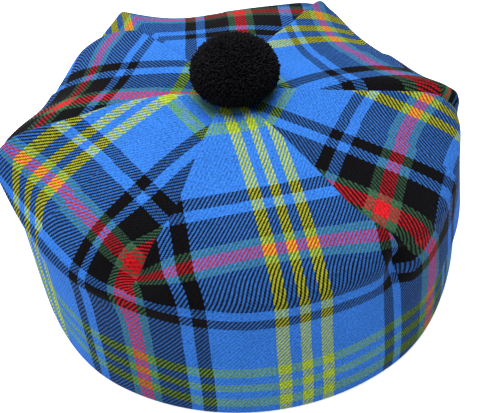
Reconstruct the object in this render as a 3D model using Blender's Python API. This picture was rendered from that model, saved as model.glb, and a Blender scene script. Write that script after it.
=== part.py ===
"""Tartan tam o' shanter, standing on its rim. Metres, +Z up, front towards -Y.

One tube of wool cloth makes the whole cap. Its lower part is the upright wall round the head. Its upper
part is drawn in to the middle by six pleats, and a cut yarn pompom is sewn on where the pleats meet.
"""

import math
from collections import namedtuple

import bmesh
import bpy
import numpy as np

MM = 0.001

# Driving dimensions of the cloth
RIM_RADIUS = 100.9 * MM
CREASE_RADIUS = 97.5 * MM
WALL_HEIGHT = 56.0 * MM
CROWN_RISE = 25.0 * MM
CROWN_PLAN_POWER = 1.7
CROWN_HEIGHT_POWER = 2.2
CLOTH = 1.8 * MM

# The middle of the crown is pulled down by the pompom's stitches
CENTRE_DIP = 3.2 * MM
CENTRE_DIP_RADIUS = 16.0 * MM

# A pleat: a slit between two rounded folds, whose hidden cloth hangs inside the crown
SLIT = 0.9 * MM
SLIT_DEPTH = 4.5 * MM
SLIT_GROWS_OVER = 13.0 * MM
SLIT_ENDS_RADIUS = 9.0 * MM
FOLD_DROP = 1.2 * MM
FOLD_ROUND = 1.8 * MM
LAP_REACH = 9.0 * MM
LAP_FULL_RADIUS = 24.0 * MM

# The crown leans a little to the left, and the rim lies a little forward and to the right
LEAN = -2.4 * MM
RIM_SHIFT_X = 0.32 * MM
RIM_SHIFT_Y = -0.68 * MM

# Round the shoulder the crown is six-sided, with its corners at the pleats
CORNER_SHARPNESS = 2.6
CORNER_MEAN = 0.3
SHOULDER_HEIGHT = 66.0 * MM
SHOULDER_BELOW = 14.0 * MM
SHOULDER_ABOVE = 10.0 * MM
SHOULDER_FADES = 0.5
SHOULDER_TILT = math.radians(38.0)

# The pleats. Angle: where one meets the crease in plan, in degrees, from the front and counter-clockwise
# from above. Turn: how far its line has turned by the inner share of the radius, in degrees. It starts to
# turn at the outer share. The rest is in millimetres. Corner: how far the panels' corner stands out at the
# pleat's end. Lap: how far the panel after the pleat stands above the one before it. Fold_at and dimple_at:
# how far above the crease the pleat starts and the hollow at its end lies.
Pleat = namedtuple("Pleat", "angle turn inner outer corner lap fold_at dimple_at dimple_depth dimple_width")
PLEATS = (
    Pleat(-24.5, 5.7, 0.62, 1.0, 3.0, 2.2, 4.0, 13.0, 7.0, 8.0),
    Pleat(36.5, -4.3, 0.75, 1.0, 3.0, -2.2, -8.0, -1.0, 6.0, 7.0),
    Pleat(90.0, -7.0, 0.2, 0.55, 8.5, -2.6, 2.0, 9.0, 3.0, 6.0),
    Pleat(148.0, 2.5, 0.4, 0.6, 14.0, -1.6, 2.0, 9.0, 3.0, 6.0),
    Pleat(211.0, 4.0, 0.65, 0.9, 15.0, 1.6, 2.0, 9.0, 4.0, 6.0),
    Pleat(277.0, -4.5, 0.4, 0.65, 9.8, 2.2, 2.0, 9.0, 3.0, 6.0),
)
DIMPLE_REACH = 9.0 * MM

# The panels in millimetres, starting from the front one, counter-clockwise. Sag: how far the middle sinks.
# Twist: how far the first half stands out and the second half sinks.
Panel = namedtuple("Panel", "sag twist")
PANELS = (
    Panel(0.0, 0.0),
    Panel(0.0, 0.0),
    Panel(2.0, 0.0),
    Panel(-3.0, 1.5),
    Panel(1.0, 3.0),
    Panel(0.0, 0.0),
)

# Pompom
POMPOM_RADIUS = 17.8 * MM
POMPOM_ABOVE = 13.8 * MM
POMPOM_BELOW = 11.0 * MM
POMPOM_ASIDE = 1.2 * MM
POMPOM_FORWARD = 1.2 * MM
POMPOM_FULLNESS = 0.86
POMPOM_GAP = 0.9 * MM
POMPOM_LOCKS = 90
LOCK_HEIGHT = 1.3 * MM
LOCK_SPREAD = math.radians(13.0)
GOLDEN_ANGLE = math.pi * (3.0 - math.sqrt(5.0))

# Columns beside each pleat line, as distances from it, and columns across the rest of a panel
PLEAT_COLUMNS = tuple(distance * MM for distance in (0.32, 0.5, 1.3, 2.8, 6.0, 11.0))
PANEL_COLUMNS = 6
WALL_ROWS = 5
CROWN_ROWS = 14
CENTRE_ROW_RADIUS = 2.5 * MM


def clear_scene():
    for obj in list(bpy.data.objects):
        bpy.data.objects.remove(obj, do_unlink=True)


def fabric(name, colour, roughness):
    material = bpy.data.materials.new(name)
    material.use_nodes = True
    shader = material.node_tree.nodes["Principled BSDF"]
    shader.inputs["Base Color"].default_value = (*colour, 1.0)
    shader.inputs["Roughness"].default_value = roughness
    shader.inputs["Metallic"].default_value = 0.0
    return material


def smooth_step(low, high, value):
    """0 at low, 1 at high, with level ends."""
    share = np.clip((value - low) / (high - low), 0.0, 1.0)
    return share * share * (3.0 - 2.0 * share)


def crown_profile(turn):
    """Radius and height on the crown, for turn from 0 at the crease to a quarter circle at the centre."""
    radius = CREASE_RADIUS * np.cos(turn) ** (2.0 / CROWN_PLAN_POWER)
    height = WALL_HEIGHT + CROWN_RISE * np.sin(turn) ** (2.0 / CROWN_HEIGHT_POWER)
    return radius, height - CENTRE_DIP * np.exp(-((radius / CENTRE_DIP_RADIUS) ** 2))


def meridian_rows():
    """Radius, height and distance above the crease of each row from rim to centre, and its unit normal."""
    wall_height = np.linspace(0.0, WALL_HEIGHT, WALL_ROWS, endpoint=False)
    wall_share = smooth_step(0.0, WALL_HEIGHT, wall_height)
    wall_radius = RIM_RADIUS + (CREASE_RADIUS - RIM_RADIUS) * wall_share
    last_turn = math.acos((CENTRE_ROW_RADIUS / CREASE_RADIUS) ** (CROWN_PLAN_POWER / 2.0))
    crown_radius, crown_height = crown_profile(np.linspace(0.0, last_turn, CROWN_ROWS))
    radius = np.concatenate([wall_radius, crown_radius])
    height = np.concatenate([wall_height, crown_height])
    along = np.concatenate([[0.0], np.cumsum(np.hypot(np.diff(radius), np.diff(height)))])
    along -= along[WALL_ROWS]
    slope_r, slope_z = np.gradient(radius, along), np.gradient(height, along)
    length = np.hypot(slope_r, slope_z)
    normal_r, normal_z = slope_z / length, -slope_r / length
    normal_r[0], normal_z[0] = 1.0, 0.0
    return radius, height, along, normal_r, normal_z


def pleat_angle(pleat, radius):
    """Where the pleat's line is in plan at this radius, in radians."""
    turned = 1.0 - float(smooth_step(pleat.inner, pleat.outer, radius / CREASE_RADIUS))
    return math.radians(pleat.angle + pleat.turn * turned)


def columns_of_row(radius, inward):
    """Angle, signed distance from its pleat line and panel share of each column, on a row of this radius.

    inward widens the slit, for the inner face of the cloth.
    """
    angles, distances, shares, pleat_of, panel_of = [], [], [], [], []
    lines = [pleat_angle(pleat, radius) for pleat in PLEATS]
    for index, start in enumerate(lines):
        span = (lines[(index + 1) % len(lines)] - start) % math.tau
        room = min(1.0, 0.42 * span * radius / PLEAT_COLUMNS[-1])
        offsets = np.array(PLEAT_COLUMNS)
        offsets[:2] += inward
        offsets[2] = max(offsets[2], offsets[1] + 0.4 * MM)
        offsets[3] = max(offsets[3], offsets[2] + 0.8 * MM)
        offsets *= room
        edge = offsets[-1] / radius
        between = np.linspace(edge, span - edge, PANEL_COLUMNS + 2)[1:-1]
        steps = [0.0, *(offsets / radius), *between, *(span - offsets[::-1] / radius)]
        for step in steps:
            before = step * radius <= (span - step) * radius
            angles.append(start + step)
            distances.append(step * radius / room if before else -(span - step) * radius / room)
            shares.append(step / span)
            pleat_of.append(index if before else (index + 1) % len(PLEATS))
            panel_of.append(index)
    return (np.array(values) for values in (angles, distances, shares, pleat_of, panel_of))


def shoulder_relief(radius, height, share, pleat_of, panel_of):
    """How far the shoulder stands out towards SHOULDER_TILT, most at corners, less where a panel sinks."""
    corner_out = np.array([PLEATS[index].corner for index in pleat_of]) * MM
    sag = np.array([PANELS[index].sag for index in panel_of]) * MM
    twist = np.array([PANELS[index].twist for index in panel_of]) * MM
    reach = SHOULDER_BELOW if height < SHOULDER_HEIGHT else SHOULDER_ABOVE
    shoulder = math.exp(-(((height - SHOULDER_HEIGHT) / reach) ** 2))
    shoulder *= float(smooth_step(0.0, SHOULDER_FADES, radius / CREASE_RADIUS))
    corner = np.abs(2.0 * share - 1.0) ** CORNER_SHARPNESS
    waved = twist * np.sin(math.tau * share)
    return shoulder * (corner_out * (corner - CORNER_MEAN) - sag * (1.0 - corner) + waved)


def pleat_relief(radius, along, distance, pleat_of, inward):
    """How far the cloth stands out along its normal beside the pleats, and in their slits and dimples."""
    pleats = Pleat(*(np.array(PLEATS)[pleat_of].T))
    away = np.abs(distance)

    begins = smooth_step(pleats.fold_at * MM, pleats.fold_at * MM + SLIT_GROWS_OVER, along)
    ends = smooth_step(0.6, 1.0, radius / SLIT_ENDS_RADIUS)
    laps = begins * smooth_step(0.4, 1.0, radius / LAP_FULL_RADIUS)
    out = 0.5 * MM * pleats.lap * np.sign(distance) * np.exp(-((away / LAP_REACH) ** 2)) * laps
    out = out - FOLD_DROP * np.exp(-away / FOLD_ROUND) * begins * ends

    near_crease = np.exp(-(((along - pleats.dimple_at * MM) / DIMPLE_REACH) ** 2))
    hollow = np.exp(-((distance / pleats.dimple_width / MM) ** 2)) * near_crease
    out = out - pleats.dimple_depth * MM * hollow

    inside_slit = away < inward + 0.5 * SLIT
    return out - SLIT_DEPTH * inside_slit * begins * ends - inward


def cloth_face(inward):
    """Grid of points, rows from rim to centre, on the outer face or, inward of it, the inner face."""
    rows = []
    for radius, height, along, normal_r, normal_z in zip(*meridian_rows()):
        angle, distance, share, pleat_of, panel_of = columns_of_row(radius, inward)
        bulk = shoulder_relief(radius, height, share, pleat_of, panel_of)
        out = pleat_relief(radius, along, distance, pleat_of, inward)
        reach = radius + out * normal_r + bulk * math.cos(SHOULDER_TILT)
        risen = float(smooth_step(0.0, WALL_HEIGHT, height))
        across = reach * np.sin(angle) + LEAN * risen + RIM_SHIFT_X * (1.0 - risen)
        ahead = -reach * np.cos(angle) + RIM_SHIFT_Y * (1.0 - risen)
        up = height + out * normal_z + bulk * math.sin(SHOULDER_TILT)
        rows.append(np.stack([across, ahead, up], -1))
    return np.array(rows)


def crown():
    """The cloth as one closed solid: outer face, inner face and the cut edge between them at the rim."""
    outer, inner = cloth_face(0.0), cloth_face(CLOTH)
    rows, columns = outer.shape[:2]
    mesh = bmesh.new()
    grids = []
    for face in (outer, inner):
        grids.append([[mesh.verts.new(point) for point in row] for row in face])
    for grid, outward in zip(grids, (True, False)):
        centre = mesh.verts.new(np.mean([vert.co[:] for vert in grid[-1]], axis=0))
        for column in range(columns):
            beside = (column + 1) % columns
            for row in range(rows - 1):
                low, high = grid[row], grid[row + 1]
                quad = [low[column], low[beside], high[beside], high[column]]
                mesh.faces.new(quad if outward else quad[::-1])
            fan = [grid[-1][column], grid[-1][beside], centre]
            mesh.faces.new(fan if outward else fan[::-1])
    for column in range(columns):
        beside = (column + 1) % columns
        mesh.faces.new([grids[1][0][column], grids[1][0][beside], grids[0][0][beside], grids[0][0][column]])
    return new_object("crown", mesh, fabric("tartan_wool_cloth", (0.03, 0.16, 0.62), 0.92))


def pompom():
    """A ball of cut yarn, flatter below, whose ends stand out in locks spread evenly over it."""
    mesh = bmesh.new()
    bmesh.ops.create_uvsphere(mesh, u_segments=56, v_segments=26, radius=1.0)
    index = np.arange(POMPOM_LOCKS) + 0.5
    lock_z = 1.0 - 2.0 * index / POMPOM_LOCKS
    lock_r = np.sqrt(1.0 - lock_z**2)
    round_it = GOLDEN_ANGLE * index
    locks = np.stack([lock_r * np.cos(round_it), lock_r * np.sin(round_it), lock_z], -1)
    _, centre_height = crown_profile(np.array(math.pi / 2))
    middle = float(centre_height) + POMPOM_GAP + POMPOM_BELOW
    for vert in mesh.verts:
        direction = np.array(vert.co)
        nearest = math.acos(min(1.0, float(np.max(locks @ direction))))
        lock = LOCK_HEIGHT * math.exp(-((nearest / LOCK_SPREAD) ** 2))
        lock *= float(smooth_step(-0.8, -0.3, direction[2]))
        half_height = POMPOM_ABOVE
        if direction[2] < 0:
            half_height = POMPOM_BELOW
            direction[:2] *= max(math.hypot(*direction[:2]), 1e-6) ** (POMPOM_FULLNESS - 1.0)
            direction[2] = -(abs(direction[2]) ** POMPOM_FULLNESS)
        vert.co.x = (POMPOM_RADIUS + lock) * direction[0] + POMPOM_ASIDE
        vert.co.y = (POMPOM_RADIUS + lock) * direction[1] - POMPOM_FORWARD
        vert.co.z = middle + (half_height + lock) * direction[2]
    return new_object("pompom", mesh, fabric("black_wool_yarn", (0.012, 0.011, 0.012), 0.95))


def new_object(name, mesh, material):
    bmesh.ops.recalc_face_normals(mesh, faces=mesh.faces)
    data = bpy.data.meshes.new(name)
    mesh.to_mesh(data)
    mesh.free()
    data.materials.append(material)
    data.shade_smooth()
    return bpy.data.objects.new(name, data)


def stand_on_origin(objects):
    """Moves the objects together, so that the middle of their common box is over the origin."""
    points = [obj.matrix_world @ vert.co for obj in objects for vert in obj.data.vertices]
    for axis in (0, 1):
        values = [point[axis] for point in points]
        for obj in objects:
            obj.location[axis] -= 0.5 * (min(values) + max(values))


def main():
    clear_scene()
    collection = bpy.data.collections.new("tam_o_shanter")
    bpy.context.scene.collection.children.link(collection)
    parts = [crown(), pompom()]
    for part in parts:
        collection.objects.link(part)
    stand_on_origin(parts)


main()
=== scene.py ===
"""Tartan tam o' shanter: the pleated cloth and its weave, the yarn pompom, floor, light and camera."""

import math
from collections import namedtuple

import bmesh
import bpy
import numpy as np
from mathutils import Matrix, Vector


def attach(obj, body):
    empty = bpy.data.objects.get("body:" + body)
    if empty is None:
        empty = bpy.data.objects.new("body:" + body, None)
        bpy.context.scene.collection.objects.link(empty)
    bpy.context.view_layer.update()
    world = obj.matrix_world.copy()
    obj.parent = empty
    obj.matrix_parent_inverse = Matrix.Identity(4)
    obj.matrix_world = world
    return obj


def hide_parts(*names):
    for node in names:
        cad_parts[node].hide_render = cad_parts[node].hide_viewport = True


MM = 0.001

# The cap's plain turned shape, as in the solid model
RIM_RADIUS = 100.9 * MM
CREASE_RADIUS = 97.5 * MM
WALL_HEIGHT = 56.0 * MM
CROWN_RISE = 25.0 * MM
CROWN_PLAN_POWER = 1.7
CROWN_HEIGHT_POWER = 2.2
CLOTH = 1.8 * MM
CENTRE_DIP = 3.2 * MM
CENTRE_DIP_RADIUS = 16.0 * MM
CENTRE_ROW_RADIUS = 2.5 * MM
LEAN = -2.4 * MM
RIM_SHIFT_X = 0.32 * MM
RIM_SHIFT_Y = -0.68 * MM

# The wall is drawn in at the sides: how far, and between which squared sines of the angle from the front this
# grows. It starts at each side's top, measured up from the crease, and is whole by DRAWN_IN_FADES below it.
WALL_DRAWN_IN = 3.2 * MM
DRAWN_IN_FROM = 0.3
DRAWN_IN_FULL = 0.85
DRAWN_IN_TOP_LEFT = 6.0 * MM
DRAWN_IN_TOP_RIGHT = -24.0 * MM
DRAWN_IN_FADES = 14.0 * MM

# Six-sided shoulder: it stands out at the corners and sinks between them, in a direction tilted up from
# level, most at its own height and less above and below
CORNER_SHARPNESS = 2.6
CORNER_MEAN = 0.3
SHOULDER_HEIGHT = 66.0 * MM
SHOULDER_BELOW = 14.0 * MM
SHOULDER_ABOVE = 10.0 * MM
SHOULDER_FADES = 0.5
SHOULDER_TILT = math.radians(38.0)

# Pleats, from the front and counter-clockwise from above. Angles in degrees, lengths in millimetres.
# Corner: how far the shoulder's corner stands out, and at what angle.
# Angle: where the pleat's line meets the crease. Turn: how far the line has turned by the inner share of the
# radius, which it starts to do at the outer share.
# Lap: how far the panel after the pleat lies above the one before it.
# Fold and dimple: how far above the crease the fold starts and the dimple lies.
PLEAT_COLUMNS = "corner_angle corner angle turn inner outer lap fold_at dimple_at dimple_depth dimple_width"
Pleat = namedtuple("Pleat", PLEAT_COLUMNS)
PLEATS = (
    Pleat(-24.5, 3.0, -24.5, 5.7, 0.62, 1.0, 2.2, 4.0, 13.0, 7.0, 8.0),
    Pleat(36.5, 3.0, 36.5, -4.3, 0.75, 1.0, -2.2, -8.0, -1.0, 6.0, 7.0),
    Pleat(93.0, 10.0, 89.3, -6.5, 0.2, 1.0, -2.6, 2.0, 9.0, 3.0, 6.0),
    Pleat(148.0, 14.0, 148.0, 2.5, 0.4, 0.6, -1.6, 2.0, 9.0, 3.0, 6.0),
    Pleat(211.0, 15.0, 223.0, -8.5, 0.65, 0.95, 1.6, 2.0, 9.0, 1.5, 6.0),
    Pleat(278.5, 10.8, 277.0, -4.5, 0.4, 0.65, 2.2, 2.0, 9.0, 3.0, 6.0),
)
# How far a dimple, the start of a fold and a lap reach. Folds and laps are whole outside the full radius, and
# end at a share of it.
DIMPLE_REACH = 9.0 * MM
FOLD_REACH = 10.0 * MM
FOLD_FULL_RADIUS = 9.0 * MM
FOLD_ENDS_AT = 0.5
LAP_REACH = 9.0 * MM
LAP_FULL_RADIUS = 24.0 * MM
LAP_ENDS_AT = 0.4

# Panels between the pleats, starting from the front one. Sag: how far the middle sinks, twist: how far the
# first half stands out and the second half sinks, in millimetres.
Panel = namedtuple("Panel", "sag twist")
PANELS = (
    Panel(0.0, 0.0),
    Panel(0.0, 0.0),
    Panel(2.0, 0.0),
    Panel(-3.0, 1.5),
    Panel(0.0, 0.5),
    Panel(0.0, 0.0),
)

# Where each panel lies on the cloth. The cloth position is u round the tube and w along it. It comes from s,
# the distance from the line at the angle middle, counter-clockwise from above, and q, the distance up from
# MAP_MIDDLE above the crease, all in cloth units. It has a term for each power of s and q: the linear ones
# are per unit and the squared ones per hundred units squared. It takes over from the wall's position between
# map_from, in millimetres above the crease, and PANEL_MAP_REACH above that.
# The columns from u0 on were not chosen by hand: they are a least squares fit to stripes read off the photo.
# The back panel's row, the fourth, was changed after the fit.
ClothMap = namedtuple("ClothMap", "map_from middle u0 u_s u_q u_qq u_ss u_sq w0 w_s w_q w_qq w_ss w_sq")
CLOTH_MAPS = (
    ClothMap(0.0, 6.5, -23.7, 1.059, 0.052, 2.4, 8.9, 5.3, 127.2, -0.023, 0.960, -12.7, -2.4, 0.3),
    ClothMap(-14.0, 65.0, 253.0, 0.964, -0.002, -9.7, 0.1, 6.5, 103.9, 0.048, 1.005, 9.5, 1.5, 6.3),
    ClothMap(0.0, 118.0, 579.7, 0.915, -0.057, 1.4, 9.9, 11.7, 88.7, 0.004, 0.906, 28.3, -0.3, 15.3),
    ClothMap(0.0, 178.0, 822.0, 0.980, 0.050, -0.6, 4.0, 5.4, 104.8, 0.057, 0.813, 8.5, -31.5, -1.4),
    ClothMap(0.0, 240.0, 1071.2, 0.977, 0.144, 7.6, -8.9, 19.3, 104.8, -0.063, 0.991, -0.8, -13.4, -3.2),
    ClothMap(0.0, 302.5, 1326.7, 0.921, 0.108, 0.4, -1.0, 19.4, 117.8, -0.055, 0.947, -6.6, -3.8, 6.4),
)
PANEL_MAP_REACH = 17.0 * MM
MAP_MIDDLE = 120.0

# Dents in the shoulder between the corners: angle and half width in degrees, depth in millimetres,
# negative where the cloth stands out
Dent = namedtuple("Dent", "angle half_width depth")
DENTS = (
    Dent(250.0, 11.0, 4.0),
    Dent(227.0, 8.0, -3.0),
)

# Where a gather pulls a panel's cloth: panel, degrees from the front, millimetres above the crease, how far
# the pull reaches in millimetres, and how far it moves the cloth in cloth units, round the tube and along it
Pull = namedtuple("Pull", "panel angle along reach_across reach_along round_tube up_tube")
PULLS = (
    Pull(5, -26.5, 16.0, 12.5, 13.5, 27.0, 0.0),
)

# Cloth position round the wall: degrees from the front and cloth units. The lean is added to it, also in
# cloth units: its value at the rim, and what it gains per metre of height up to WALL_LEAN_ENDS.
WallPlace = namedtuple("WallPlace", "angle cloth")
WALL_PLACES = (
    WallPlace(-51.5, -301.0),
    WallPlace(-38.5, -225.0),
    WallPlace(-24.0, -161.0),
    WallPlace(-9.4, -97.0),
    WallPlace(7.3, -21.0),
    WallPlace(12.1, 0.0),
    WallPlace(16.6, 21.0),
    WallPlace(32.4, 97.0),
    WallPlace(40.3, 136.0),
    WallPlace(48.6, 161.0),
    WallPlace(92.5, 402.0),
    WallPlace(145.0, 690.0),
    WallPlace(210.5, 955.0),
    WallPlace(269.0, 1170.0),
    WallPlace(308.5, 1309.0),
)
WALL_LEAN_AT_RIM = 5.0
WALL_LEAN_PER_METRE = -150.0
WALL_LEAN_ENDS = 0.9 * WALL_HEIGHT

# Where two stripes run round the wall: angle, then millimetres above the crease of the black one and of the
# yellow one. YELLOW_STRIPE is how far up the cloth the yellow one lies from the black one, in cloth units.
# The cloth below it is stretched by RIM_STRETCH.
WallStripes = namedtuple("WallStripes", "angle black yellow")
WALL_STRIPES = (
    WallStripes(-50.0, 6.5, -22.0),
    WallStripes(-38.0, 2.5, -26.5),
    WallStripes(-25.0, 0.0, -27.5),
    WallStripes(-12.0, -3.0, -30.8),
    WallStripes(0.0, -5.7, -31.0),
    WallStripes(22.0, -7.5, -31.5),
    WallStripes(35.0, -9.8, -31.0),
    WallStripes(40.5, -15.0, -33.0),
    WallStripes(46.0, -14.5, -34.5),
    WallStripes(53.0, -12.0, -36.0),
    WallStripes(90.0, -6.0, -33.0),
    WallStripes(180.0, -4.0, -31.0),
    WallStripes(270.0, 2.0, -26.0),
    WallStripes(310.0, 6.5, -22.0),
)
YELLOW_STRIPE = -76.0
RIM_STRETCH = 1.1

# Fine surface: rows and columns of points, and the rounded edge at the rim
WALL_ROWS = 26
CROWN_ROWS = 84
INNER_WALL_ROWS = 12
INNER_CROWN_ROWS = 40
PANEL_COLUMNS = 40
HEM_ROUND = 0.7 * MM
HEM_TURNS = (30.0, 60.0, 90.0)

# Section across a pleat, in millimetres, from the lower panel to the upper one. Flat: distance from the pleat
# line where it isn't folded. Fold: the same where it is. Face: height in lap heights. Drop: extra height.
# Upper: whether it is the upper panel's cloth.
Section = namedtuple("Section", "flat fold face drop upper")
SECTIONS = (
    Section(-11.0, -11.0, -0.5, 0.0, False),
    Section(-7.5, -7.5, -0.5, 0.0, False),
    Section(-5.0, -5.0, -0.5, 0.0, False),
    Section(-3.2, -3.0, -0.5, 0.0, False),
    Section(-2.0, -1.6, -0.5, 0.0, False),
    Section(-1.3, -0.7, -0.5, -0.03, False),
    Section(-0.8, 0.4, -0.5, -0.08, False),
    Section(-0.5, 3.0, -0.5, -0.14, False),
    Section(-0.2, 7.0, -0.5, -0.16, False),
    Section(-0.05, 7.05, -0.5, 0.14, True),
    Section(0.05, 3.0, -0.5, 0.2, True),
    Section(0.2, 0.9, -0.5, 0.3, True),
    Section(0.35, 0.3, -0.35, 0.2, True),
    Section(0.5, 0.0, -0.05, 0.0, True),
    Section(0.7, 0.15, 0.25, 0.0, True),
    Section(1.0, 0.6, 0.42, 0.0, True),
    Section(1.5, 1.2, 0.5, 0.0, True),
    Section(2.3, 2.1, 0.52, 0.0, True),
    Section(3.5, 3.4, 0.51, 0.0, True),
    Section(5.2, 5.2, 0.5, 0.0, True),
    Section(7.5, 7.5, 0.5, 0.0, True),
    Section(11.0, 11.0, 0.5, 0.0, True),
)
# A section reaches this far to either side, or this share of the narrower panel beside it if that is less
SECTION_REACH = 11.0
SECTION_ROOM = 0.42
# The fold behind a pleat, on the inner face: its depth, its place off the pleat's line and its width
HIDDEN_FOLD = 2.2 * MM
HIDDEN_FOLD_AT = 4.0 * MM
HIDDEN_FOLD_WIDTH = 5.0 * MM

# Tartan. A cloth unit in metres. The sett runs from the middle of the yellows to the middle of the red and
# back, five times round the cap.
UNIT = 0.379 * MM
Stripe = namedtuple("Stripe", "colour width")
SETT = (
    Stripe("yellow", 5.0),
    Stripe("blue", 9.5),
    Stripe("yellow", 13.0),
    Stripe("blue", 63.0),
    Stripe("black", 13.0),
    Stripe("blue", 12.0),
    Stripe("black", 30.0),
    Stripe("green", 8.0),
    Stripe("red", 7.5),
)
HALF_SETT = sum(stripe.width for stripe in SETT)
REPEATS = 5
CLOTH_ROUND = 2 * REPEATS * HALF_SETT
CREASE_ABOVE_RED = -64.0
WARP_PITCH = 0.394 * MM
WEFT_PITCH = 0.545 * MM
WARP_COLOURS = {
    "blue": "#2f6bc0",
    "black": "#0b0a0d",
    "red": "#bc1b22",
    "green": "#345a40",
    "yellow": "#abaf28",
}
WEFT_COLOURS = {**WARP_COLOURS, "yellow": "#6f9938"}

# A twill of two over and two under: each row of crossings is one yarn further on than the last
TWILL_REPEAT = 4.0
WARP_ON_TOP_BELOW = 1.5
# How much of the face a yarn covers where it lies on top, and the root in which the two colours mix
WARP_COVERS = 0.86
WEFT_COVERS = 0.82
MIX_ROOT = 4.0
# How far the yarns wander, how large each unevenness is, where the middle of a diagonal ridge lies in the
# twill's repeat, and how much ridges, fuzz and wear lighten or darken the cloth. The ridges' part is painted
# light and shade: ridge tops are painted lighter and the valleys between them painted darker.
YARN_DRIFT = 0.5 * MM
DRIFT_SIZE = 9.0 * MM
FUZZ_SIZE = 0.9 * MM
WEAR_SIZE = 14.0 * MM
RIDGE_MIDDLE = 0.25
RIDGE_PAINTED_SHADE = 0.3
FUZZ_SHADE = 2.6
WEAR_SHADE = 0.35
TWILL_RELIEF = 0.12 * MM
FUZZ_RELIEF = 0.6
RELIEF_STRENGTH = 0.5

# Pompom: a core hidden by cut yarn ends, each a thin tube of a few rings that bends a little to one side
POMPOM_RADIUS = 17.8 * MM
POMPOM_ABOVE = 13.8 * MM
POMPOM_BELOW = 11.0 * MM
POMPOM_ASIDE = 1.2 * MM
POMPOM_FORWARD = 1.2 * MM
POMPOM_FULLNESS = 0.86
POMPOM_GAP = 0.9 * MM
CORE_BELOW = 0.9 * MM
CORE_SEGMENTS = 48
TUFTS = 7000
TUFT_SIDES = 5
TUFT_WIDTH = 0.34 * MM
TUFT_DEPTH = 4.0 * MM
TUFT_OUT = 0.2 * MM
TUFT_OUT_AT_MOST = 1.2 * MM
TUFT_UNEVEN = 0.3 * MM
TUFT_BEND = 0.35 * MM
TUFT_SCATTER = 0.012
TuftRing = namedtuple("TuftRing", "share width")
TUFT_RINGS = (
    TuftRing(0.25, 0.9),
    TuftRing(0.85, 1.05),
    TuftRing(0.97, 0.75),
)
# A slanted direction, from which the sides of each yarn end are worked out
SLANTED_DIRECTION = (0.3, 0.5, 0.8)
GOLDEN_ANGLE = math.pi * (3.0 - math.sqrt(5.0))
DARKEST_YARN = "#050506"
LIGHTEST_YARN = "#1c1c20"

# Light and floor
SURROUNDINGS_LEFT = 0.75
SURROUNDINGS_RIGHT = 0.03
FADE_STARTS = -0.5
FADE_ENDS = 0.7
LAMP_PLACE = (-0.02, 0.15, 0.9)
LAMP_TARGET = (0.0, 0.0, 0.04)
LAMP_SIZE = 0.9
LAMP_POWER = 12.0
FLOOR_REACH = 3.0
FLOOR_GLOW = 0.54

# Camera, fitted to the photograph's view of the rim, the crease and the pompom. The axis pixels are where the
# image shows the cap's upright axis at CAMERA_TARGET_HEIGHT.
SENSOR_WIDTH = 36.0
IMAGE_WIDTH = 488.0
IMAGE_HEIGHT = 413.0
CAMERA_ELEVATION = math.radians(43.0)
CAMERA_DISTANCE = 335.4 * MM
CAMERA_TARGET_HEIGHT = 26.5 * MM
CAMERA_ROLL = math.radians(-4.4)
FOCAL_PIXELS = 725.0
AXIS_X_PIXEL = 240.3
AXIS_Y_PIXEL = 183.2


def smooth_step(low, high, value):
    share = np.clip((value - low) / (high - low), 0.0, 1.0)
    return share * share * (3.0 - 2.0 * share)


def linear_colour(hex_code):
    """sRGB hex to linear red, green, blue and alpha."""
    values = [int(hex_code[i : i + 2], 16) / 255.0 for i in (1, 3, 5)]
    linear = [v / 12.92 if v <= 0.04045 else ((v + 0.055) / 1.055) ** 2.4 for v in values]
    return (*linear, 1.0)


def crown_profile(turn):
    """Radius and height of the crown's face, from the crease at no turn to the centre at a quarter turn."""
    radius = CREASE_RADIUS * np.cos(turn) ** (2.0 / CROWN_PLAN_POWER)
    height = WALL_HEIGHT + CROWN_RISE * np.sin(turn) ** (2.0 / CROWN_HEIGHT_POWER)
    return radius, height - CENTRE_DIP * np.exp(-((radius / CENTRE_DIP_RADIUS) ** 2))


def arc_table():
    """Radius and distance above the crease of places along the crown, from the centre to the crease."""
    radius, height = crown_profile(np.linspace(0.0, math.pi / 2.0, 2000))
    along = np.concatenate([[0.0], np.cumsum(np.hypot(np.diff(radius), np.diff(height)))])
    return radius[::-1], along[::-1]


ARC_RADIUS, ARC_ALONG = arc_table()


def placed(name, data):
    """A new object of the scene with this data."""
    piece = bpy.data.objects.new(name, data)
    bpy.context.scene.collection.objects.link(piece)
    return piece


def meridian_rows(wall_rows, crown_rows):
    """Radius, height, distance above the crease and unit normal of each row from rim to centre."""
    wall_height = np.linspace(0.0, WALL_HEIGHT, wall_rows, endpoint=False)
    wall_radius = RIM_RADIUS + (CREASE_RADIUS - RIM_RADIUS) * smooth_step(0.0, WALL_HEIGHT, wall_height)
    last_turn = math.acos((CENTRE_ROW_RADIUS / CREASE_RADIUS) ** (CROWN_PLAN_POWER / 2.0))
    crown_radius, crown_height = crown_profile(np.linspace(0.0, last_turn, crown_rows))
    radius = np.concatenate([wall_radius, crown_radius])
    height = np.concatenate([wall_height, crown_height])
    along = np.concatenate([[0.0], np.cumsum(np.hypot(np.diff(radius), np.diff(height)))])
    along -= along[wall_rows]
    slope_r, slope_z = np.gradient(radius, along), np.gradient(height, along)
    length = np.hypot(slope_r, slope_z)
    return radius, height, along, slope_z / length, -slope_r / length


def pleat_angle(pleat, radius):
    turned = 1.0 - float(smooth_step(pleat.inner, pleat.outer, radius / CREASE_RADIUS))
    return math.radians(pleat.angle + pleat.turn * turned)


Columns = namedtuple("Columns", "angle distance height pleat panel")


def fold_shares(radius, along):
    """How far each pleat is folded on a row, from 0 to 1."""
    starts = np.array([pleat.fold_at for pleat in PLEATS]) * MM
    near_centre = smooth_step(FOLD_ENDS_AT, 1.0, radius / FOLD_FULL_RADIUS)
    return smooth_step(starts, starts + FOLD_REACH, along) * near_centre


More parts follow.
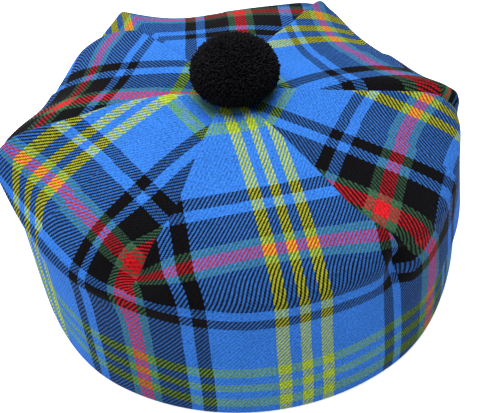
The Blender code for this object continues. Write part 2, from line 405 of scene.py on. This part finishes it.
def columns_of_row(radius, folded, outer):
    """The columns of one row: angle, distance from the nearest pleat's line, height off the plain face, that
    pleat, and the panel that the cloth belongs to. folded holds 0 for an open pleat and 1 for a folded one.
    A pleat's section has less room near the centre, and is drawn narrower there. Only the outer face's closes
    into a fold."""
    rows = []
    lines = [pleat_angle(pleat, radius) for pleat in PLEATS]
    count = len(PLEATS)
    spans = [(lines[(i + 1) % count] - lines[i]) % math.tau for i in range(count)]
    narrower = [min(spans[i], spans[i - 1]) for i in range(count)]
    rooms = [min(1.0, SECTION_ROOM * span * radius / (SECTION_REACH * MM)) for span in narrower]
    for index, start in enumerate(lines):
        lap, room = PLEATS[index].lap, rooms[index]
        side = 1.0 if lap > 0 else -1.0
        for section in SECTIONS if lap > 0 else SECTIONS[::-1]:
            panel = index if section.upper == (lap > 0) else (index - 1) % count
            flat, fold = side * section.flat * MM, side * section.fold * MM
            distance = flat + (fold - flat) * folded[index] if outer else flat
            step = room * distance / radius
            lift = abs(lap) * MM * section.face + section.drop * MM * room
            rows.append((start + step, distance, lift, index, panel))
        ahead = (index + 1) % count
        edge, far_edge = (rooms[i] * SECTION_REACH * MM / radius for i in (index, ahead))
        for step in np.linspace(edge, spans[index] - far_edge, PANEL_COLUMNS + 2)[1:-1]:
            before = step <= spans[index] - step
            pleat = index if before else ahead
            distance = (step if before else step - spans[index]) * radius / rooms[pleat]
            on_top = (PLEATS[pleat].lap > 0) == before
            lift = abs(PLEATS[pleat].lap) * MM * (0.5 if on_top else -0.5)
            rows.append((start + step, distance, lift, pleat, index))
    return Columns(*(np.array(values) for values in zip(*rows)))


def shoulder_relief(radius, height, angle):
    """How far the shoulder stands out at the corners, less where it sinks between them."""
    corners = [pleat.corner_angle for pleat in PLEATS]
    past_first = (np.degrees(angle) - corners[0]) % 360.0
    knots = [*(np.array(corners) - corners[0]), 360.0]
    passed = np.interp(past_first, knots, np.arange(len(corners) + 1.0))
    side = np.minimum(passed.astype(int), len(corners) - 1)
    share = passed - side
    near = (side + (share > 0.5)) % len(corners)
    corner_out = np.array([PLEATS[i].corner for i in near]) * MM
    sag = np.array([PANELS[i].sag for i in side]) * MM
    twist = np.array([PANELS[i].twist for i in side]) * MM
    reach = SHOULDER_BELOW if height < SHOULDER_HEIGHT else SHOULDER_ABOVE
    shoulder = math.exp(-(((height - SHOULDER_HEIGHT) / reach) ** 2))
    shoulder *= float(smooth_step(0.0, SHOULDER_FADES, radius / CREASE_RADIUS))
    corner = np.abs(2.0 * share - 1.0) ** CORNER_SHARPNESS
    waved = twist * np.sin(math.tau * share)
    for dent in DENTS:
        across = (np.degrees(angle) - dent.angle + 180.0) % 360.0 - 180.0
        waved = waved - dent.depth * MM * np.exp(-((across / dent.half_width) ** 2))
    return shoulder * (corner_out * (corner - CORNER_MEAN) - sag * (1.0 - corner) + waved)


def drawn_in(angle, along):
    """How much closer to the axis the wall is at the sides."""
    at_side = smooth_step(DRAWN_IN_FROM, DRAWN_IN_FULL, np.sin(angle) ** 2)
    top = np.where(np.sin(angle) > 0.0, DRAWN_IN_TOP_RIGHT, DRAWN_IN_TOP_LEFT)
    return WALL_DRAWN_IN * at_side * smooth_step(0.0, DRAWN_IN_FADES, top - along)


def wall_place(angle, along, height):
    """Cloth position on the wall, round the tube and along it, in cloth units."""
    first = WALL_PLACES[0]
    turns = np.floor((angle - first.angle) / 360.0)
    knots, cloth = zip(*WALL_PLACES, (first.angle + 360.0, first.cloth + CLOTH_ROUND))
    across = np.interp(angle - 360.0 * turns, knots, cloth) + CLOTH_ROUND * turns
    across = across + WALL_LEAN_AT_RIM + WALL_LEAN_PER_METRE * min(height, WALL_LEAN_ENDS)
    table = np.array(WALL_STRIPES)
    turned = (angle - table[0, 0]) % 360.0 + table[0, 0]
    black = np.interp(turned, table[:, 0], table[:, 1]) * MM
    yellow = np.interp(turned, table[:, 0], table[:, 2]) * MM
    upper = (along - black) / UNIT
    middle = YELLOW_STRIPE * (black - along) / (black - yellow)
    lower = YELLOW_STRIPE + (along - yellow) / UNIT / RIM_STRETCH
    return across, np.where(along > black, upper, np.where(along > yellow, middle, lower))


def cloth_place(radius, along, height, columns):
    """Cloth position of each column, round the tube and along it, in cloth units."""
    wall_u, wall_w = wall_place(np.degrees(columns.angle), along, height)
    row = ClothMap(*np.array([CLOTH_MAPS[i] for i in columns.panel]).T)
    bearing = columns.angle - np.radians(row.middle)
    s = radius * np.sin(bearing) / UNIT
    q = (np.interp(radius * np.cos(bearing), ARC_RADIUS, ARC_ALONG) + min(along, 0.0)) / UNIT - MAP_MIDDLE
    qq, ss, sq = (q / 100.0) ** 2, (s / 100.0) ** 2, s * q / 1e4
    panel_u = row.u0 + row.u_s * s + row.u_q * q + row.u_qq * qq + row.u_ss * ss + row.u_sq * sq
    panel_w = row.w0 + row.w_s * s + row.w_q * q + row.w_qq * qq + row.w_ss * ss + row.w_sq * sq
    share = smooth_step(row.map_from * MM, row.map_from * MM + PANEL_MAP_REACH, along)
    whole_turns = CLOTH_ROUND * np.round((wall_u - panel_u) / CLOTH_ROUND)
    return wall_u + (panel_u + whole_turns - wall_u) * share, wall_w + (panel_w - wall_w) * share


def pulled_place(radius, along, height, columns):
    """The cloth position of each column, moved by the gathers nearby."""
    u, w = cloth_place(radius, along, height, columns)
    for pull in PULLS:
        turned = (columns.angle - math.radians(pull.angle) + math.pi) % math.tau - math.pi
        across = radius * turned / (pull.reach_across * MM)
        up = (along - pull.along * MM) / (pull.reach_along * MM)
        near = np.exp(-(across**2) - up**2) * (columns.panel == pull.panel)
        u, w = u + near * pull.round_tube, w + near * pull.up_tube
    return u, w


def of_pleats(columns, name):
    """For each column, the value with that name of the pleat it belongs to."""
    return np.array([getattr(PLEATS[i], name) for i in columns.pleat])


def cloth_face(wall_rows, crown_rows, inner):
    """Rows of points, from rim to centre, of the outer face or the inner one, and their cloth positions."""
    points, places = [], []
    for radius, height, along, normal_r, normal_z in zip(*meridian_rows(wall_rows, crown_rows)):
        folded = fold_shares(radius, along)
        columns = columns_of_row(radius, folded, not inner)
        bulk = shoulder_relief(radius, height, columns.angle)
        laps = folded[columns.pleat] * float(smooth_step(LAP_ENDS_AT, 1.0, radius / LAP_FULL_RADIUS))
        near = np.exp(-((columns.distance / LAP_REACH) ** 2))
        out = columns.height * near * laps
        depth = of_pleats(columns, "dimple_depth") * MM
        width = of_pleats(columns, "dimple_width") * MM
        dimple_at = of_pleats(columns, "dimple_at") * MM
        near_crease = np.exp(-(((along - dimple_at) / DIMPLE_REACH) ** 2))
        out = out - depth * np.exp(-((columns.distance / width) ** 2)) * near_crease
        if inner:
            lap_side = np.sign(of_pleats(columns, "lap"))
            under = (columns.distance * lap_side - HIDDEN_FOLD_AT) / HIDDEN_FOLD_WIDTH
            out = out - CLOTH - HIDDEN_FOLD * np.exp(-(under**2)) * folded[columns.pleat]
        reach = radius + out * normal_r + bulk * math.cos(SHOULDER_TILT) - drawn_in(columns.angle, along)
        risen = float(smooth_step(0.0, WALL_HEIGHT, height))
        across = reach * np.sin(columns.angle) + LEAN * risen + RIM_SHIFT_X * (1.0 - risen)
        ahead = -reach * np.cos(columns.angle) + RIM_SHIFT_Y * (1.0 - risen)
        up = height + out * normal_z + bulk * math.sin(SHOULDER_TILT)
        points.append(np.stack([across, ahead, up], -1))
        places.append(np.stack(pulled_place(radius, along, height, columns), -1) * UNIT)
    return np.array(points), np.array(places)


def hem_rows(outer, inner):
    """The folded edge at the rim: rows that lead round from the inner face's first row to the outer's."""
    outer_rim, inner_rim = outer[0], inner[0]
    back = HEM_TURNS[1::-1]
    rows = []
    for turn in np.radians(HEM_TURNS):
        rows.append(inner_rim + (outer_rim - inner_rim) * (1.0 - math.cos(turn)) * HEM_ROUND / CLOTH)
    for turn in np.radians(back):
        rows.append(outer_rim + (inner_rim - outer_rim) * (1.0 - math.cos(turn)) * HEM_ROUND / CLOTH)
    lifts = [HEM_ROUND * (1.0 - math.sin(math.radians(turn))) for turn in (*HEM_TURNS, *back)]
    for row, lift in zip(rows, lifts):
        row[:, 2] = lift
    outer[0][:, 2] = HEM_ROUND
    inner[0][:, 2] = HEM_ROUND
    return np.array(rows)


def grid_object(name, points, places, material, end_centres):
    """A tube of closed rows of points, with its cloth positions as a UV map and a cap at both ends."""
    rows, columns = points.shape[:2]
    verts = [*points.reshape(-1, 3), *end_centres]
    faces, loops_uv = [], []
    for row in range(rows - 1):
        for column in range(columns):
            beside = (column + 1) % columns
            wrap = CLOTH_ROUND * UNIT if beside == 0 else 0.0
            corners = ((row, column), (row, beside), (row + 1, beside), (row + 1, column))
            faces.append([r * columns + c for r, c in corners])
            for r, c in corners:
                u, w = places[r, c]
                loops_uv.append((u + (wrap if c == beside else 0.0), w))
    for end, (row, centre) in enumerate(((0, rows * columns), (rows - 1, rows * columns + 1))):
        for column in range(columns):
            beside = (column + 1) % columns
            fan = [row * columns + column, row * columns + beside, centre]
            faces.append(fan[::-1] if end == 0 else fan)
            loops_uv.extend([tuple(places[row, column])] * 3)
    mesh = bpy.data.meshes.new(name)
    mesh.from_pydata([tuple(v) for v in verts], [], faces)
    layer = mesh.uv_layers.new(name="cloth")
    layer.data.foreach_set("uv", np.array(loops_uv, np.float32).ravel())
    mesh.materials.append(material)
    mesh.shade_smooth()
    return placed(name, mesh)


def tartan_cap(axis, material):
    outer, outer_places = cloth_face(WALL_ROWS, CROWN_ROWS, False)
    inner, inner_places = cloth_face(INNER_WALL_ROWS, INNER_CROWN_ROWS, True)
    hem = hem_rows(outer, inner)
    hem_places = np.repeat(outer_places[:1], len(hem), axis=0)
    points = np.concatenate([inner[::-1], hem, outer]) + axis
    places = np.concatenate([inner_places[::-1], hem_places, outer_places])
    centres = [points[0].mean(axis=0), points[-1].mean(axis=0)]
    return grid_object("tartan_cloth", points, places, material, centres)


def node(tree, kind, inputs=None, **settings):
    """Adds a shader node with its settings, and links or sets each input."""
    made = tree.nodes.new(kind)
    for name, value in settings.items():
        setattr(made, name, value)
    for key, value in (inputs or {}).items():
        if isinstance(value, bpy.types.NodeSocket):
            tree.links.new(value, made.inputs[key])
        else:
            made.inputs[key].default_value = value
    return made


def calculate(tree, operation, *values):
    return node(tree, "ShaderNodeMath", dict(enumerate(values)), operation=operation).outputs[0]


def noise(tree, place, size, detail, roughness=0.5):
    """Unevenness of a given size: its output lies round one half."""
    settings = {"Vector": place, "Scale": 1.0 / size, "Detail": detail, "Roughness": roughness}
    return node(tree, "ShaderNodeTexNoise", settings).outputs["Fac"]


def made_uneven(tree, value, uneven, amount):
    """A value raised or lowered by how far the unevenness is off its middle, times an amount."""
    off_middle = calculate(tree, "SUBTRACT", uneven, 0.5)
    return calculate(tree, "MULTIPLY_ADD", off_middle, amount, value)


def sett_colour(tree, yarn_number, pitch, phase, colours):
    """MIX_ROOT-th root of a yarn's colour from its number, by where its middle lies in the sett."""
    middle = calculate(tree, "MULTIPLY", calculate(tree, "ADD", yarn_number, 0.5), pitch / UNIT)
    folded = calculate(tree, "PINGPONG", calculate(tree, "ADD", middle, phase), HALF_SETT)
    ramp = node(tree, "ShaderNodeValToRGB", {0: calculate(tree, "DIVIDE", folded, HALF_SETT)})
    ramp.color_ramp.interpolation = "CONSTANT"
    stops = ramp.color_ramp.elements
    reached = 0.0
    for index, stripe in enumerate(SETT):
        stop = stops[index] if index < 2 else stops.new(reached / HALF_SETT)
        stop.position = reached / HALF_SETT
        stop.color = [value ** (1.0 / MIX_ROOT) for value in linear_colour(colours[stripe.colour])]
        reached += stripe.width
    return ramp.outputs["Color"]


def wave(tree, value):
    """1 where value is a whole number and 0 half-way between."""
    turned = calculate(tree, "COSINE", calculate(tree, "MULTIPLY", value, math.tau))
    return calculate(tree, "MULTIPLY_ADD", turned, 0.5, 0.5)


def tartan_material():
    """Wool twill woven two over, two under, matte and a little fuzzy, so it shows no shine. Each yarn keeps
    its sett colour, and the crossings hatch diagonally. Light spreads between neighbouring yarns, so each
    shows some of the other's colour. The diagonal ridges stand up in relief, and their colour carries painted
    light and shade: the ridge tops are painted lighter and the valleys between them painted darker."""
    material = bpy.data.materials.new("tartan_wool_twill")
    material.use_nodes = True
    tree = material.node_tree
    shader = tree.nodes["Principled BSDF"]
    place = node(tree, "ShaderNodeUVMap", uv_map="cloth").outputs["UV"]
    split = node(tree, "ShaderNodeSeparateXYZ", {0: place})
    drift = calculate(tree, "SUBTRACT", noise(tree, place, DRIFT_SIZE, 1.0), 0.5)
    drift = calculate(tree, "MULTIPLY", drift, YARN_DRIFT)
    across = calculate(tree, "DIVIDE", calculate(tree, "ADD", split.outputs["X"], drift), WARP_PITCH)
    along = calculate(tree, "DIVIDE", calculate(tree, "SUBTRACT", split.outputs["Y"], drift), WEFT_PITCH)

    warp, weft = calculate(tree, "FLOOR", across), calculate(tree, "FLOOR", along)
    warp_colour = sett_colour(tree, warp, WARP_PITCH, 0.0, WARP_COLOURS)
    weft_colour = sett_colour(tree, weft, WEFT_PITCH, HALF_SETT + CREASE_ABOVE_RED, WEFT_COLOURS)
    step = calculate(tree, "FLOORED_MODULO", calculate(tree, "SUBTRACT", warp, weft), TWILL_REPEAT)
    warp_on_top = calculate(tree, "LESS_THAN", step, WARP_ON_TOP_BELOW)
    seen = calculate(tree, "MULTIPLY_ADD", warp_on_top, WARP_COVERS + WEFT_COVERS - 1.0, 1.0 - WEFT_COVERS)
    # Sockets 6 and 7 are the two colours that this node mixes
    mixed = node(tree, "ShaderNodeMix", {0: seen, 6: weft_colour, 7: warp_colour}, data_type="RGBA")
    whole = node(tree, "ShaderNodeGamma", {"Color": mixed.outputs[2], "Gamma": MIX_ROOT})

    twill = calculate(tree, "DIVIDE", calculate(tree, "SUBTRACT", across, along), TWILL_REPEAT)
    ridge = wave(tree, calculate(tree, "SUBTRACT", twill, RIDGE_MIDDLE))
    fuzz = noise(tree, place, FUZZ_SIZE, 3.0, 0.7)
    wear = noise(tree, place, WEAR_SIZE, 2.0)
    # Painted light and shade on the twill: ridge tops lighter, valleys darker. Fuzz and wear then add random
    # tone.
    shade = calculate(tree, "MULTIPLY_ADD", ridge, RIDGE_PAINTED_SHADE, 1.0 - 0.5 * RIDGE_PAINTED_SHADE)
    shade = made_uneven(tree, shade, fuzz, FUZZ_SHADE)
    shade = made_uneven(tree, shade, wear, WEAR_SHADE)
    shaded = {0: whole.outputs["Color"], "Scale": shade}
    colour = node(tree, "ShaderNodeVectorMath", shaded, operation="SCALE")
    height = calculate(tree, "MULTIPLY_ADD", fuzz, FUZZ_RELIEF, ridge)
    relief = {"Height": height, "Strength": RELIEF_STRENGTH, "Distance": TWILL_RELIEF}
    bump = node(tree, "ShaderNodeBump", relief)
    tree.links.new(colour.outputs["Vector"], shader.inputs["Base Color"])
    tree.links.new(bump.outputs["Normal"], shader.inputs["Normal"])
    shader.inputs["Roughness"].default_value = 0.95
    shader.inputs["Specular IOR Level"].default_value = 0.03
    shader.inputs["Sheen Weight"].default_value = 0.02
    shader.inputs["Sheen Roughness"].default_value = 0.5
    return material


def yarn_material():
    """Near-black cut wool yarn, matte. Each end is a little lighter or darker than the next, so that the eye
    can tell them apart. Each end is also painted darker toward its root, and the core darkest: painted shade
    deep among the ends."""
    material = bpy.data.materials.new("black_wool_yarn")
    material.use_nodes = True
    tree = material.node_tree
    shader = tree.nodes["Principled BSDF"]
    shade = node(tree, "ShaderNodeAttribute", attribute_name="shade")
    ramp = node(tree, "ShaderNodeValToRGB", {0: shade.outputs["Fac"]})
    ramp.color_ramp.elements[0].color = linear_colour(DARKEST_YARN)
    ramp.color_ramp.elements[1].color = linear_colour(LIGHTEST_YARN)
    tree.links.new(ramp.outputs["Color"], shader.inputs["Base Color"])
    shader.inputs["Roughness"].default_value = 0.95
    shader.inputs["Specular IOR Level"].default_value = 0.1
    return material


def pompom_point(direction, grow):
    """Point of the pompom's plain outer form in a direction, moved out by grow."""
    x, y, z = direction
    half_height = POMPOM_ABOVE
    if z < 0.0:
        half_height = POMPOM_BELOW
        swell = max(math.hypot(x, y), 1e-6) ** (POMPOM_FULLNESS - 1.0)
        x, y, z = x * swell, y * swell, -(abs(z) ** POMPOM_FULLNESS)
    middle = WALL_HEIGHT + CROWN_RISE - CENTRE_DIP + POMPOM_GAP + POMPOM_BELOW
    across = (POMPOM_RADIUS + grow) * x + POMPOM_ASIDE
    behind = (POMPOM_RADIUS + grow) * y - POMPOM_FORWARD
    return np.array([across, behind, middle + (half_height + grow) * z])


def tuft_direction(index, random):
    """Directions that cover a ball evenly, one for each yarn end, each a little off its place."""
    up = 1.0 - 2.0 * (index + 0.5) / TUFTS
    round_it = GOLDEN_ANGLE * index
    level = math.sqrt(1.0 - up * up)
    direction = np.array([level * math.cos(round_it), level * math.sin(round_it), up])
    direction = direction + random.normal(0.0, TUFT_SCATTER, 3)
    return direction / np.linalg.norm(direction)


def add_tuft(mesh, tone_and_painted_shade_layer, axis, index, random):
    """One cut yarn end: a thin tube from inside the pompom to its face, closed by a point."""
    direction = tuft_direction(index, random)
    grow = TUFT_OUT + TUFT_UNEVEN * random.normal()
    tip = pompom_point(direction, min(grow, TUFT_OUT_AT_MOST))
    root = pompom_point(direction, -TUFT_DEPTH)
    line = tip - root
    line /= np.linalg.norm(line)
    side = np.cross(line, SLANTED_DIRECTION)
    side /= np.linalg.norm(side)
    other = np.cross(line, side)
    bend = TUFT_BEND * random.normal(size=2)
    shade = float(random.uniform(0.0, 1.0))
    rings = []
    for share, width in TUFT_RINGS:
        centre = root + (tip - root) * share + (side * bend[0] + other * bend[1]) * share**2
        ring = []
        for turn in np.arange(TUFT_SIDES) * math.tau / TUFT_SIDES:
            spoke = side * math.cos(turn) + other * math.sin(turn)
            vert = mesh.verts.new(centre + spoke * TUFT_WIDTH * width + axis)
            # Painted shade: the yarn end darkens toward its root inside the pompom
            vert[tone_and_painted_shade_layer] = shade * share
            ring.append(vert)
        rings.append(ring)
    end = mesh.verts.new(tip + side * bend[0] + other * bend[1] + axis)
    end[tone_and_painted_shade_layer] = shade
    for low, high in zip(rings, rings[1:]):
        for k in range(TUFT_SIDES):
            beside = (k + 1) % TUFT_SIDES
            mesh.faces.new((low[k], low[beside], high[beside], high[k]))
    for k in range(TUFT_SIDES):
        mesh.faces.new((rings[-1][k], rings[-1][(k + 1) % TUFT_SIDES], end))


def pompom(axis, material):
    """A core and thousands of short cut yarn ends that stand out of it."""
    random = np.random.default_rng(7)
    mesh = bmesh.new()
    bmesh.ops.create_uvsphere(mesh, u_segments=CORE_SEGMENTS, v_segments=CORE_SEGMENTS // 2, radius=1.0)
    tone_and_painted_shade_layer = mesh.verts.layers.float.new("shade")
    for vert in mesh.verts:
        vert.co = pompom_point(vert.co, -CORE_BELOW) + axis
        # Painted shade: the hidden core takes the darkest yarn colour
        vert[tone_and_painted_shade_layer] = 0.0
    for index in range(TUFTS):
        add_tuft(mesh, tone_and_painted_shade_layer, axis, index, random)
    data = bpy.data.meshes.new("yarn_pompom")
    mesh.to_mesh(data)
    mesh.free()
    data.materials.append(material)
    data.shade_smooth()
    return placed("yarn_pompom", data)


def wall_axis():
    """The plain shape's upright axis, from the middle of the solid crown's lowest ring."""
    points = np.array([vert.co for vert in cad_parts["crown"].data.vertices])
    rim = points[points[:, 2] < 1e-5]
    middle = 0.5 * (rim.min(axis=0) + rim.max(axis=0))
    return np.array([middle[0] - RIM_SHIFT_X, middle[1] - RIM_SHIFT_Y, 0.0])


def camera(axis):
    data = bpy.data.cameras.new("camera")
    data.sensor_width = SENSOR_WIDTH
    data.lens = FOCAL_PIXELS * SENSOR_WIDTH / IMAGE_WIDTH
    data.shift_x = (0.5 * IMAGE_WIDTH - AXIS_X_PIXEL) / IMAGE_WIDTH
    data.shift_y = (AXIS_Y_PIXEL - 0.5 * IMAGE_HEIGHT) / IMAGE_WIDTH
    data.clip_start = 0.01
    piece = placed("camera", data)
    back = np.array([0.0, -math.cos(CAMERA_ELEVATION), math.sin(CAMERA_ELEVATION)])
    level = np.array([1.0, 0.0, 0.0])
    upright = np.cross(level, -back)
    cos_roll, sin_roll = math.cos(CAMERA_ROLL), math.sin(CAMERA_ROLL)
    right = cos_roll * level + sin_roll * upright
    up = cos_roll * upright - sin_roll * level
    place = axis + np.array([0.0, 0.0, CAMERA_TARGET_HEIGHT]) + back * CAMERA_DISTANCE
    matrix = np.eye(4)
    matrix[:3, :] = np.stack([right, up, back, place], -1)
    piece.matrix_world = Matrix(matrix.tolist())
    bpy.context.scene.camera = piece


def floor():
    """Pale matte studio paper that glows a little, so that it shows white as in the photograph."""
    mesh = bpy.data.meshes.new("floor")
    corners = [(x * FLOOR_REACH, y * FLOOR_REACH, 0.0) for x, y in ((-1, -1), (1, -1), (1, 1), (-1, 1))]
    mesh.from_pydata(corners, [], [(0, 1, 2, 3)])
    material = bpy.data.materials.new("pale_studio_paper")
    material.use_nodes = True
    shader = material.node_tree.nodes["Principled BSDF"]
    shader.inputs["Base Color"].default_value = linear_colour("#f6f6f6")
    shader.inputs["Emission Color"].default_value = (1.0, 1.0, 1.0, 1.0)
    shader.inputs["Emission Strength"].default_value = FLOOR_GLOW
    shader.inputs["Roughness"].default_value = 0.9
    mesh.materials.append(material)
    return placed("floor", mesh)


def surroundings():
    """A white room that fades to the right."""
    world = bpy.data.worlds.new("studio")
    bpy.context.scene.world = world
    world.use_nodes = True
    tree = world.node_tree
    place = node(tree, "ShaderNodeTexCoord")
    split = node(tree, "ShaderNodeSeparateXYZ", {0: place.outputs["Generated"]})
    fade = {0: split.outputs["X"], 1: FADE_STARTS, 2: FADE_ENDS, 3: SURROUNDINGS_LEFT, 4: SURROUNDINGS_RIGHT}
    strength = node(tree, "ShaderNodeMapRange", fade)
    tree.links.new(strength.outputs[0], tree.nodes["Background"].inputs["Strength"])
    tree.nodes["Background"].inputs["Color"].default_value = (1.0, 1.0, 1.0, 1.0)


def lamp():
    """One broad round lamp, high above and a little behind."""
    data = bpy.data.lights.new("top_light", "AREA")
    data.shape = "DISK"
    data.size = LAMP_SIZE
    data.energy = LAMP_POWER
    piece = placed("top_light", data)
    piece.location = LAMP_PLACE
    direction = Vector(LAMP_TARGET) - Vector(LAMP_PLACE)
    piece.rotation_euler = direction.to_track_quat("-Z", "Y").to_euler()


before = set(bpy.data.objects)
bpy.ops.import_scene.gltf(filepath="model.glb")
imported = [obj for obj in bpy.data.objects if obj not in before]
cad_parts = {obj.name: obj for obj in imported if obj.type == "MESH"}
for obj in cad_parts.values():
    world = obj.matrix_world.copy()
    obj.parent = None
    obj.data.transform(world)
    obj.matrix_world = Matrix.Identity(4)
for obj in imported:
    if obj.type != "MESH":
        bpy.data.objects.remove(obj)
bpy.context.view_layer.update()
axis = wall_axis()
camera(axis)
surroundings()
lamp()
bpy.context.scene.view_settings.view_transform = "Standard"
stage = floor()

cap = tartan_cap(axis, tartan_material())
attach(cap, "root")
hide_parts("crown")

ball = pompom(axis, yarn_material())
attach(ball, "root")
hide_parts("pompom")
